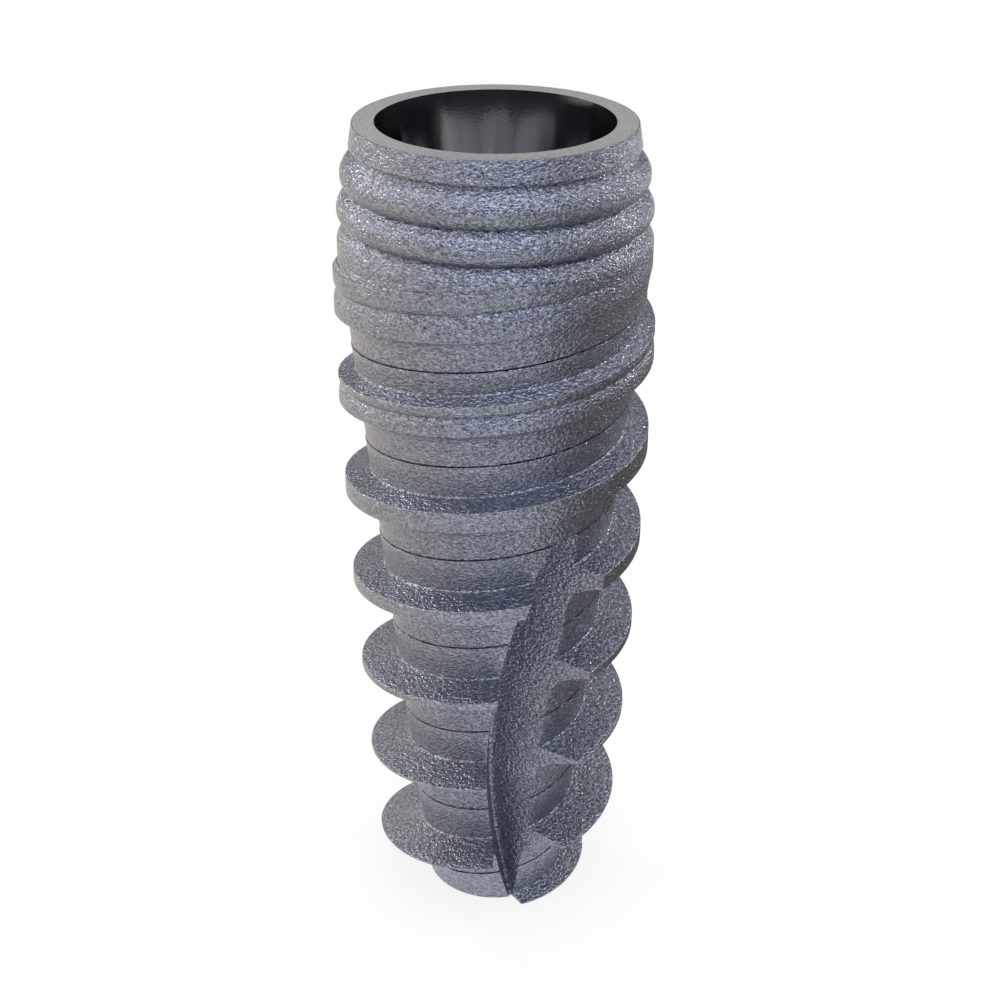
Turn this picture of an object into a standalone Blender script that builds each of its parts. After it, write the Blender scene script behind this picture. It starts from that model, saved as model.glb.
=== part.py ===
"""Dental implant: a one-piece titanium fixture with a tapered screw thread.

Metres, +Z up. The origin is the centre of the flat apex, and +Z runs along the
axis to the platform, the flat ring that an abutment seats on. Azimuths are
measured from the front, the -Y side, and grow toward +X.
"""

import math

import bmesh
import bpy
from mathutils import Matrix, Vector

MM = 0.001
COLLECTION_NAME = "dental_implant"
CUTTER_COLLECTION_NAME = "dental_implant_cutters"
BODY_NAME = "implant_body"

# Whole fixture
LENGTH = 11.5 * MM
SEGMENTS = 48
WELD = 0.001 * MM

# Platform and collar, depths are below the platform
PLATFORM_RADIUS = 1.80 * MM
BAND_FOOT_RADIUS = 1.845 * MM
BAND_HEIGHT = 0.29 * MM
RING_PITCH = 0.47 * MM
RING_COUNT = 2
RING_RADII = (1.965 * MM, 2.015 * MM)
RING_GROOVE_RADII = (1.805 * MM, 1.925 * MM, 1.965 * MM)
RING_GROOVE_HALF_WIDTH = 0.035 * MM
RING_SHOULDER_DROP = 0.022 * MM

# Core, a short steep cone below the collar and a long straight one to the apex
CORE_TOP_RADIUS = 2.03 * MM
CORE_TOP_DEPTH = 1.75 * MM
CORE_NECK_STEP = 0.10 * MM
CORE_NECK_DEPTH = 2.5 * MM
APEX_RADIUS = 0.99 * MM

# Thread, one start, right-handed, with a flat upper flank and a hollow lower one
THREAD_PITCH = 1.474 * MM
THREAD_FIRST_CREST_DEPTH = 1.49 * MM
THREAD_TOP_STANDOFF = 0.07 * MM
THREAD_TOP_RADIUS_DEPTH = 2.0 * MM
THREAD_FOOT_RADIUS = 1.72 * MM
THREAD_FOOT_HEIGHT = 0.8 * MM
THREAD_BARREL_POWER = 1.75
THREAD_START_ANGLE = math.radians(206)
THREAD_START_SINK = 0.01 * MM
THREAD_FADE_ANGLES = (math.radians(20), math.radians(-80))
THREAD_MAX_CREST_DEPTH = 1.36 * MM
UPPER_FLANK_RISE = 0.06 * MM
LOWER_FLANK_POWER = 6.0
LOWER_FLANK_STEPS = 5

# Run-out at the apex, where the thread thins and ends inside the first flute
RUN_OUT_HEIGHT = 0.43 * MM
RUN_OUT_PITCH_SHARE = 0.63
RUN_OUT_SLOPE = 0.50
RUN_OUT_RADIUS = 1.10 * MM
THREAD_TURNS = 7
THREAD_END_ANGLE = math.radians(13) - math.tau * THREAD_TURNS

# Widths of the crest's upright face and of the whole thread, from the apex to the first crest
THREAD_SHARES = (0.0, 0.1165, 0.264, 0.411, 0.558, 0.7055, 0.853, 1.0)
CREST_FLATS = tuple(w * MM for w in (0.02, 0.02, 0.035, 0.10, 0.20, 0.28, 0.40, 0.66))
ROOT_WIDTHS = tuple(w * MM for w in (0.45, 0.63, 0.83, 0.852, 0.856, 0.896, 0.943, 1.075))
THREAD_SINK = 0.12 * MM
ROOT_OVERLAP = 0.012 * MM

# Shallow groove along the crest of the first two turns
CREST_GROOVE_START = math.radians(75)
CREST_GROOVE_END = math.radians(-555)
CREST_GROOVE_DEPTH = 0.045 * MM
CREST_GROOVE_CLEARANCE = 0.01 * MM
CREST_GROOVE_HALF_WIDTH = 0.05 * MM
CREST_GROOVE_DROP_START = 0.313 * MM
CREST_GROOVE_DROP_PER_TURN = -0.141 * MM
CREST_GROOVE_FADE_ANGLE = math.radians(60)

# Two cutting flutes, each a V cut with one steep wall and one rake face that turns with height
FLUTE_COUNT = 2
FLUTE_TOP_HEIGHT = 6.34 * MM
FLUTE_TOP_ROUND = 0.15 * MM
FLUTE_TOP_ROUND_ANGLES = tuple(math.radians(a) for a in (35, 65, 90))
FLUTE_STEP = 0.42 * MM
FLUTE_WALL_RADIUS = 9.1 * MM
FLUTE_WALL_OFFSET = -0.11 * MM
FLUTE_WALL_HEIGHT = 2.4 * MM
FLUTE_HEIGHTS = (0.0, 1.3 * MM, 2.5 * MM, 4.0 * MM, 5.5 * MM)
FLUTE_EDGE_AZIMUTHS = tuple(math.radians(a) for a in (15.5, 25.0, 27.5, 34.0, 41.5))
FLUTE_RAKE_ANGLES = tuple(math.radians(a) for a in (58.0, 37.0, 29.0, 29.0, 29.0))
FLUTE_CORNER_RADIUS = 0.12 * MM
FLUTE_CORNER_BLEND = 0.6
FLUTE_REACH = 2.7 * MM

# Bore: conical seat, hexagon socket, screw hole
BORE_MOUTH_RADIUS = 1.515 * MM
SEAT_DEPTH = 1.9 * MM
SEAT_HALF_ANGLE = math.radians(11)
HEX_ACROSS_FLATS = 2.1 * MM
HEX_LENGTH = 1.2 * MM
SCREW_HOLE_RADIUS = 0.78 * MM
SCREW_HOLE_DEPTH = 5.0 * MM
DRILL_TIP_HALF_ANGLE = math.radians(59)

TITANIUM_COLOUR = (0.165, 0.18, 0.215, 1.0)
TITANIUM_ROUGHNESS = 0.55
CUT_MARGIN = 1.0 * MM


def clear_scene():
    """Remove every object, so that the script starts from nothing."""
    for scene_object in list(bpy.data.objects):
        bpy.data.objects.remove(scene_object, do_unlink=True)


def make_collection(name):
    """Return a new collection linked to the scene."""
    collection = bpy.data.collections.new(name)
    bpy.context.scene.collection.children.link(collection)
    return collection


def make_material(name, colour, roughness):
    """Return a metallic Principled material."""
    material = bpy.data.materials.new(name)
    material.use_nodes = True
    shader = material.node_tree.nodes["Principled BSDF"]
    shader.inputs["Base Color"].default_value = colour
    shader.inputs["Metallic"].default_value = 1.0
    shader.inputs["Roughness"].default_value = roughness
    return material


def smooth_step(fraction):
    """Ease a fraction from 0 to 1 with level ends."""
    clamped = min(max(fraction, 0.0), 1.0)
    return clamped * clamped * (3.0 - 2.0 * clamped)


def value_at(place, places, values):
    """Value at a place between those of a table, held past its ends."""
    if place <= places[0]:
        return values[0]
    for index in range(1, len(places)):
        if place <= places[index]:
            part = (place - places[index - 1]) / (places[index] - places[index - 1])
            return values[index - 1] + (values[index] - values[index - 1]) * part
    return values[-1]


def core_radius(height):
    """Radius of the core at a height above the apex."""
    neck = (LENGTH - CORE_NECK_DEPTH, CORE_TOP_RADIUS - CORE_NECK_STEP)
    top = (LENGTH - CORE_TOP_DEPTH, CORE_TOP_RADIUS)
    taper = (neck[1] - APEX_RADIUS) / neck[0]
    if height < neck[0]:
        return APEX_RADIUS + taper * height
    return value_at(height, (neck[0], top[0]), (neck[1], top[1]))


def helix_height(angle):
    """Height of the crest's upper edge, where one turn down is -2 pi."""
    return LENGTH - THREAD_FIRST_CREST_DEPTH + THREAD_PITCH * angle / math.tau


def crest_height(angle):
    """Height of the crest's upper edge, which falls more slowly in the run-out."""
    helix = helix_height(angle)
    return max(helix, RUN_OUT_HEIGHT - (RUN_OUT_HEIGHT - helix) * RUN_OUT_PITCH_SHARE)


def crest_radius(angle):
    """Outer radius of the thread: a slight barrel, faded in and run out."""
    height = helix_height(angle)
    barrel_top = LENGTH - THREAD_TOP_RADIUS_DEPTH
    top_radius = CORE_TOP_RADIUS + THREAD_TOP_STANDOFF
    drop = max(barrel_top - height, 0.0) / (barrel_top - THREAD_FOOT_HEIGHT)
    radius = top_radius - (top_radius - THREAD_FOOT_RADIUS) * drop ** THREAD_BARREL_POWER
    if height < THREAD_FOOT_HEIGHT:
        run_out = THREAD_FOOT_RADIUS - RUN_OUT_SLOPE * (THREAD_FOOT_HEIGHT - height)
        radius = max(run_out, RUN_OUT_RADIUS)
    fade_start, fade_end = THREAD_FADE_ANGLES
    fade = smooth_step((angle - fade_start) / (fade_end - fade_start))
    start_radius = CORE_TOP_RADIUS - THREAD_START_SINK
    return start_radius + (radius - start_radius) * fade


def thread_share(angle):
    """Place along the thread as a share, 0 at the apex and 1 at the first crest."""
    return helix_height(angle) / (LENGTH - THREAD_FIRST_CREST_DEPTH)


def thread_section(angle):
    """Radius and height of each corner of the thread's section at an angle."""
    share = thread_share(angle)
    crest_top = crest_height(angle)
    root = crest_top - value_at(share, THREAD_SHARES, ROOT_WIDTHS)
    flat = value_at(share, THREAD_SHARES, CREST_FLATS)
    capped_top = min(crest_top, LENGTH - THREAD_MAX_CREST_DEPTH)
    crest_foot = min(crest_top - flat, capped_top - CREST_FLATS[0])
    crest = crest_radius(angle)
    core_at_root = core_radius(root) - ROOT_OVERLAP
    top_inside = core_radius(capped_top) - THREAD_SINK
    corners = [(top_inside, capped_top + UPPER_FLANK_RISE), (crest, capped_top)]
    for step in range(LOWER_FLANK_STEPS + 1):
        part = (step / LOWER_FLANK_STEPS) ** 2
        radius = core_at_root + (crest - core_at_root) * (1.0 - part) ** LOWER_FLANK_POWER
        corners.append((radius, crest_foot - (crest_foot - root) * part))
    corners.append((core_at_root - THREAD_SINK, root))
    return corners


def polar_point(radius, azimuth, height):
    """Point at a radius and an azimuth from the front."""
    return Vector((radius * math.sin(azimuth), -radius * math.cos(azimuth), height))


def link_mesh(name, mesh, collection):
    """Make an object of a mesh in a collection."""
    scene_object = bpy.data.objects.new(name, mesh)
    collection.objects.link(scene_object)
    return scene_object


def loft(name, sections, collection):
    """Make a closed solid through a row of sections that have as many points."""
    shape = bmesh.new()
    rings = [[shape.verts.new(point) for point in section] for section in sections]
    count = len(rings[0])
    for first, second in zip(rings, rings[1:]):
        for index in range(count):
            following = (index + 1) % count
            shape.faces.new((first[index], first[following], second[following], second[index]))
    shape.faces.new(rings[0])
    shape.faces.new(rings[-1])
    bmesh.ops.triangulate(shape, faces=shape.faces)
    bmesh.ops.recalc_face_normals(shape, faces=shape.faces)
    mesh = bpy.data.meshes.new(name)
    shape.to_mesh(mesh)
    shape.free()
    return link_mesh(name, mesh, collection)


def turned(name, profile, collection):
    """Make a turned solid of a profile that runs down its outer side."""
    mesh = bpy.data.meshes.new(name)
    edges = [(index, index + 1) for index in range(len(profile) - 1)]
    mesh.from_pydata([(radius, 0.0, height) for radius, height in profile], edges, [])
    scene_object = link_mesh(name, mesh, collection)
    screw = scene_object.modifiers.new("turn", "SCREW")
    screw.steps = SEGMENTS
    screw.render_steps = SEGMENTS
    screw.use_merge_vertices = True
    screw.merge_threshold = WELD
    return scene_object


def mark_as_cutter(scene_object):
    """Show a tool body as wires and keep it out of renders."""
    scene_object.display_type = "WIRE"
    scene_object.hide_render = True
    return scene_object


def combine(body, tool, operation):
    """Add an exact Boolean of a tool to the body."""
    boolean = body.modifiers.new(tool.name, "BOOLEAN")
    boolean.operation = operation
    boolean.solver = "EXACT"
    boolean.object = tool


def body_profile():
    """Profile of the turned blank: platform, band, rings and core."""
    profile = [(0.0, LENGTH), (PLATFORM_RADIUS, LENGTH), (BAND_FOOT_RADIUS, LENGTH - BAND_HEIGHT)]
    groove = BAND_HEIGHT + RING_GROOVE_HALF_WIDTH
    for index in range(RING_COUNT):
        ring = RING_RADII[index]
        shoulder = ring - RING_SHOULDER_DROP
        ring_top = groove + RING_GROOVE_HALF_WIDTH
        ring_foot = groove + RING_PITCH - RING_GROOVE_HALF_WIDTH
        profile.append((RING_GROOVE_RADII[index], LENGTH - groove))
        profile.append((shoulder, LENGTH - ring_top))
        profile.append((ring, LENGTH - (ring_top + ring_foot) / 2))
        profile.append((shoulder, LENGTH - ring_foot))
        groove += RING_PITCH
    profile.append((RING_GROOVE_RADII[RING_COUNT], LENGTH - groove))
    profile.append((CORE_TOP_RADIUS, LENGTH - groove - 2 * RING_GROOVE_HALF_WIDTH))
    for depth in (CORE_TOP_DEPTH, CORE_NECK_DEPTH, LENGTH):
        profile.append((core_radius(LENGTH - depth), LENGTH - depth))
    profile.append((0.0, 0.0))
    return profile


def make_thread(collection):
    """Make the thread's ridge, sunk into the core along its whole length."""
    count = round((THREAD_START_ANGLE - THREAD_END_ANGLE) / math.tau * SEGMENTS)
    sections = []
    for index in range(count + 1):
        angle = THREAD_START_ANGLE + (THREAD_END_ANGLE - THREAD_START_ANGLE) * index / count
        sections.append([polar_point(r, angle, h) for r, h in thread_section(angle)])
    return loft("thread_ridge", sections, collection)


def make_crest_groove(collection):
    """Make the V-shaped cutter for the groove along the first crests."""
    count = round((CREST_GROOVE_START - CREST_GROOVE_END) / math.tau * SEGMENTS)
    sections = []
    for index in range(count + 1):
        angle = CREST_GROOVE_START + (CREST_GROOVE_END - CREST_GROOVE_START) * index / count
        edge_distance = min(CREST_GROOVE_START - angle, angle - CREST_GROOVE_END)
        fade = smooth_step(edge_distance / CREST_GROOVE_FADE_ANGLE)
        turns = -angle / math.tau
        height = helix_height(angle) - CREST_GROOVE_DROP_START - CREST_GROOVE_DROP_PER_TURN * turns
        crest = max(crest_radius(angle), core_radius(height))
        bottom = crest + CREST_GROOVE_CLEARANCE - (CREST_GROOVE_CLEARANCE + CREST_GROOVE_DEPTH) * fade
        outside = crest + CREST_GROOVE_DEPTH
        half = CREST_GROOVE_HALF_WIDTH * (outside - bottom) / CREST_GROOVE_DEPTH
        corners = [(bottom, height), (outside, height + half), (outside, height - half)]
        sections.append([polar_point(r, angle, h) for r, h in corners])
    return mark_as_cutter(loft("crest_groove_cutter", sections, collection))


def arc_drop(radius, distance):
    """How far an arc has turned away at a distance along its tangent."""
    return radius - math.sqrt(max(radius ** 2 - distance ** 2, 0.0))


def flute_wall_offset(height):
    """Sideways place of the flute's steep wall, an arc that is rounded off at its top."""
    in_round = max(height - (FLUTE_TOP_HEIGHT - FLUTE_TOP_ROUND), 0.0)
    arc = arc_drop(FLUTE_WALL_RADIUS, height - FLUTE_WALL_HEIGHT)
    return FLUTE_WALL_OFFSET + arc + arc_drop(FLUTE_TOP_ROUND, in_round)


def flute_section(height):
    """Corners of the flute's cut at a height, with a small round in its corner."""
    edge = polar_point(core_radius(height), value_at(height, FLUTE_HEIGHTS, FLUTE_EDGE_AZIMUTHS), height)
    rake = value_at(height, FLUTE_HEIGHTS, FLUTE_RAKE_ANGLES)
    along = Vector((math.cos(rake), -math.sin(rake), 0.0))
    wall = flute_wall_offset(height)
    corner = edge + along * ((wall - edge.x) / along.x)
    outward = Vector((0.0, -1.0, 0.0))
    wall_point = corner + outward * FLUTE_CORNER_RADIUS
    rake_point = corner + along * FLUTE_CORNER_RADIUS
    middle = corner.lerp((wall_point + rake_point) / 2, FLUTE_CORNER_BLEND)
    reach_point = edge + along * FLUTE_REACH
    far_side = Vector((reach_point.x, -2 * FLUTE_REACH, height))
    far_wall = Vector((wall, -2 * FLUTE_REACH, height))
    return [far_wall, wall_point, middle, rake_point, reach_point, far_side]


def make_flute(index, collection):
    """Make the cutter for one flute, turned to its place around the axis."""
    bottom = -CUT_MARGIN
    round_start = FLUTE_TOP_HEIGHT - FLUTE_TOP_ROUND
    count = math.ceil((round_start - bottom) / FLUTE_STEP)
    heights = [bottom + (round_start - bottom) * step / count for step in range(count + 1)]
    heights += [round_start + FLUTE_TOP_ROUND * math.sin(angle) for angle in FLUTE_TOP_ROUND_ANGLES]
    flute = loft(f"flute_cutter_{index + 1}", [flute_section(h) for h in heights], collection)
    flute.data.transform(Matrix.Rotation(math.tau * index / FLUTE_COUNT, 4, "Z"))
    return mark_as_cutter(flute)


def make_apex_cutter(collection):
    """Make the block that faces off the apex."""
    mesh = bpy.data.meshes.new("apex_cutter")
    shape = bmesh.new()
    side = 4 * FLUTE_REACH
    block = bmesh.ops.create_cube(shape, size=1.0)
    bmesh.ops.scale(shape, vec=(side, side, 2 * CUT_MARGIN), verts=block["verts"])
    bmesh.ops.translate(shape, vec=(0.0, 0.0, -CUT_MARGIN), verts=block["verts"])
    shape.to_mesh(mesh)
    shape.free()
    return mark_as_cutter(link_mesh("apex_cutter", mesh, collection))


def make_bore(collection):
    """Make the turned cutter for the conical seat and the screw hole."""
    slope = math.tan(SEAT_HALF_ANGLE)
    seat_foot = BORE_MOUTH_RADIUS - SEAT_DEPTH * slope
    tip = SCREW_HOLE_RADIUS / math.tan(DRILL_TIP_HALF_ANGLE)
    profile = [
        (0.0, LENGTH + CUT_MARGIN),
        (BORE_MOUTH_RADIUS + CUT_MARGIN * slope, LENGTH + CUT_MARGIN),
        (seat_foot, LENGTH - SEAT_DEPTH),
        (SCREW_HOLE_RADIUS, LENGTH - SEAT_DEPTH),
        (SCREW_HOLE_RADIUS, LENGTH - SCREW_HOLE_DEPTH),
        (0.0, LENGTH - SCREW_HOLE_DEPTH - tip),
    ]
    return mark_as_cutter(turned("bore_cutter", profile, collection))


def make_hexagon(collection):
    """Make the hexagonal cutter for the socket below the seat."""
    top = LENGTH - SEAT_DEPTH / 2
    foot = LENGTH - SEAT_DEPTH - HEX_LENGTH
    mesh = bpy.data.meshes.new("hexagon_cutter")
    shape = bmesh.new()
    corner_radius = HEX_ACROSS_FLATS / math.sqrt(3)
    bmesh.ops.create_cone(
        shape,
        cap_ends=True,
        segments=6,
        radius1=corner_radius,
        radius2=corner_radius,
        depth=top - foot,
        matrix=Matrix.Translation((0.0, 0.0, (top + foot) / 2)),
    )
    shape.to_mesh(mesh)
    shape.free()
    return mark_as_cutter(link_mesh("hexagon_cutter", mesh, collection))


def build():
    """Model the implant as one solid."""
    clear_scene()
    parts = make_collection(COLLECTION_NAME)
    cutters = make_collection(CUTTER_COLLECTION_NAME)
    body = turned(BODY_NAME, body_profile(), parts)
    body.data.materials.append(make_material("blasted_titanium", TITANIUM_COLOUR, TITANIUM_ROUGHNESS))
    combine(body, mark_as_cutter(make_thread(cutters)), "UNION")
    combine(body, make_crest_groove(cutters), "DIFFERENCE")
    combine(body, make_apex_cutter(cutters), "DIFFERENCE")
    for index in range(FLUTE_COUNT):
        combine(body, make_flute(index, cutters), "DIFFERENCE")
    combine(body, make_bore(cutters), "DIFFERENCE")
    combine(body, make_hexagon(cutters), "DIFFERENCE")


build()
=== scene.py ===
"""Looks of a dental implant: a blasted titanium fixture with a polished bore.

The fixture is one piece. Its fine solid is made of a helical skin that is
wrapped from a grid, trimmed by a turned envelope, and cut by two flutes, a
conical seat, a hexagon socket and a tapped screw hole.
"""

import logging
import math
from dataclasses import dataclass
from enum import Enum

import bpy
import numpy as np
from mathutils import Matrix, Vector


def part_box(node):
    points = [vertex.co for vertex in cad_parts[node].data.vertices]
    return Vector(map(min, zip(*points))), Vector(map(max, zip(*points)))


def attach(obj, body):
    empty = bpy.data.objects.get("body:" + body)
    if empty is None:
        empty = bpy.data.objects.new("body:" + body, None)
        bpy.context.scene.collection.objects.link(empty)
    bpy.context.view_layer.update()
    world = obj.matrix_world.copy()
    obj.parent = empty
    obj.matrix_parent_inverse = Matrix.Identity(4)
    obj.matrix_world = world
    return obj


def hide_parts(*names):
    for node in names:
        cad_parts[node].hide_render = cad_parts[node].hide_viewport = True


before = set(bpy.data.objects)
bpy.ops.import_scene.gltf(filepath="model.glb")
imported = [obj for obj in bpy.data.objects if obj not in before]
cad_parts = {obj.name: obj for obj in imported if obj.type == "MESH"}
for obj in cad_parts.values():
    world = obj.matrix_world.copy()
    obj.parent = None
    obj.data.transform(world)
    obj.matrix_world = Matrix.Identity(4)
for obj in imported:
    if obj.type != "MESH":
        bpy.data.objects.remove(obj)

MM = 0.001
NODE = "implant_body"
BODY = "root"
PIECE = "implant_fixture"
# Points closer than this are merged
WELD = 0.0001 * MM

Rows = list[tuple[np.ndarray, np.ndarray]]
Metal = tuple[bpy.types.Material, bpy.types.NodeTree, bpy.types.Node]

log = logging.getLogger("dental_implant")


class Slot(Enum):
    """Material slots of the fixture's mesh, in order."""

    BLASTED = 0
    PLATFORM = 1
    BORE = 2


def linear(hex_colour: str) -> tuple[float, float, float, float]:
    """Turn an sRGB hex colour to linear RGBA.

    Args:
        hex_colour: Six hex digits, such as "a0a4ad".

    Returns:
        The linear colour with full alpha.
    """
    channels = [int(hex_colour[index:index + 2], 16) / 255 for index in (0, 2, 4)]
    values = [c / 12.92 if c <= 0.04045 else ((c + 0.055) / 1.055) ** 2.4 for c in channels]
    return (*values, 1.0)


def smooth_step(value: np.ndarray | float) -> np.ndarray | float:
    """Ease a share from 0 to 1 with level ends."""
    clamped = np.clip(value, 0.0, 1.0)
    return clamped * clamped * (3.0 - 2.0 * clamped)


def deselect_all() -> None:
    """Leave nothing selected, in object mode."""
    if bpy.context.object and bpy.context.object.mode != "OBJECT":
        bpy.ops.object.mode_set(mode="OBJECT")
    bpy.ops.object.select_all(action="DESELECT")


def name_active(name: str) -> bpy.types.Object:
    """Name the active object and its mesh.

    Args:
        name: The new name.

    Returns:
        The active object.
    """
    piece = bpy.context.active_object
    piece.name = name
    piece.data.name = name
    return piece


def turned_solid(name: str, profile: list[tuple[float, float]], segments: int) -> bpy.types.Object:
    """Turn a closed solid by drawing a disc up along a profile.

    Args:
        name: Name of the new object.
        profile: Radius and height pairs from the lowest disc to the highest.
        segments: Number of facets round the axis.

    Returns:
        The solid, with its place in its mesh.
    """
    deselect_all()
    radius, height = profile[0]
    bpy.ops.mesh.primitive_circle_add(vertices=segments, radius=radius, fill_type="NGON")
    piece = name_active(name)
    bpy.ops.object.mode_set(mode="EDIT")
    bpy.ops.mesh.select_all(action="SELECT")
    bpy.ops.transform.translate(value=(0.0, 0.0, height))
    for next_radius, next_height in profile[1:]:
        bpy.ops.mesh.extrude_region_move(
            TRANSFORM_OT_translate={"value": (0.0, 0.0, next_height - height)}
        )
        scale = next_radius / radius
        bpy.ops.transform.resize(value=(scale, scale, 1.0), center_override=(0.0, 0.0, next_height))
        radius, height = next_radius, next_height
    bpy.ops.mesh.select_all(action="SELECT")
    bpy.ops.mesh.normals_make_consistent(inside=False)
    bpy.ops.object.mode_set(mode="OBJECT")
    return piece


def wrapped_grid(name: str, places: np.ndarray) -> bpy.types.Object:
    """Wrap a grid primitive over rows of points, and close its ends.

    Args:
        name: Name of the new object.
        places: Points as an array of stations by rows by three.

    Returns:
        A closed solid whose neighbouring turns are merged.
    """
    stations, rows, _ = places.shape
    deselect_all()
    bpy.ops.mesh.primitive_grid_add(x_subdivisions=stations - 1, y_subdivisions=rows - 1, size=2.0)
    piece = name_active(name)
    mesh = piece.data
    flat = np.empty(len(mesh.vertices) * 3)
    mesh.vertices.foreach_get("co", flat)
    flat = flat.reshape(-1, 3)
    column = np.rint((flat[:, 0] + 1.0) / 2.0 * (stations - 1)).astype(int)
    row = np.rint((flat[:, 1] + 1.0) / 2.0 * (rows - 1)).astype(int)
    mesh.vertices.foreach_set("co", places[column, row].ravel())
    mesh.update()
    bpy.ops.object.mode_set(mode="EDIT")
    bpy.ops.mesh.select_all(action="SELECT")
    bpy.ops.mesh.remove_doubles(threshold=WELD)
    bpy.ops.mesh.fill_holes(sides=0)
    bpy.ops.mesh.normals_make_consistent(inside=False)
    bpy.ops.object.mode_set(mode="OBJECT")
    return piece


def polar(radius: np.ndarray, azimuth: np.ndarray, height: np.ndarray) -> np.ndarray:
    """Points at radii, azimuths from the front and heights, as an array."""
    return np.stack([radius * np.sin(azimuth), -radius * np.cos(azimuth), height], axis=-1)


def cut(piece: bpy.types.Object, tool: bpy.types.Object, operation: str) -> None:
    """Apply a Boolean of a tool to a piece and remove the tool.

    Args:
        piece: The object that is changed.
        tool: The object that cuts or trims it.
        operation: INTERSECT or DIFFERENCE.
    """
    deselect_all()
    piece.select_set(True)
    bpy.context.view_layer.objects.active = piece
    boolean = piece.modifiers.new(tool.name, "BOOLEAN")
    boolean.operation = operation
    boolean.solver = "MANIFOLD"
    boolean.object = tool
    bpy.ops.object.modifier_apply(modifier=boolean.name)
    bpy.data.objects.remove(tool, do_unlink=True)


@dataclass
class Core:
    """Long cone that carries the thread, with a short steep neck below the collar."""

    length: float
    top_radius: float = 2.03 * MM
    top_depth: float = 1.75 * MM
    neck_step: float = 0.10 * MM
    neck_depth: float = 2.5 * MM
    apex_radius: float = 0.99 * MM

    def radius(self, height: np.ndarray | float) -> np.ndarray | float:
        """Radius at a height above the apex.

        Args:
            height: Height above the apex, or heights.

        Returns:
            The core's radius there.
        """
        neck_height = self.length - self.neck_depth
        neck_radius = self.top_radius - self.neck_step
        cone = self.apex_radius + (neck_radius - self.apex_radius) * height / neck_height
        heights = (neck_height, self.length - self.top_depth)
        neck = np.interp(height, heights, (neck_radius, self.top_radius))
        return np.where(height < neck_height, cone, neck)


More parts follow.
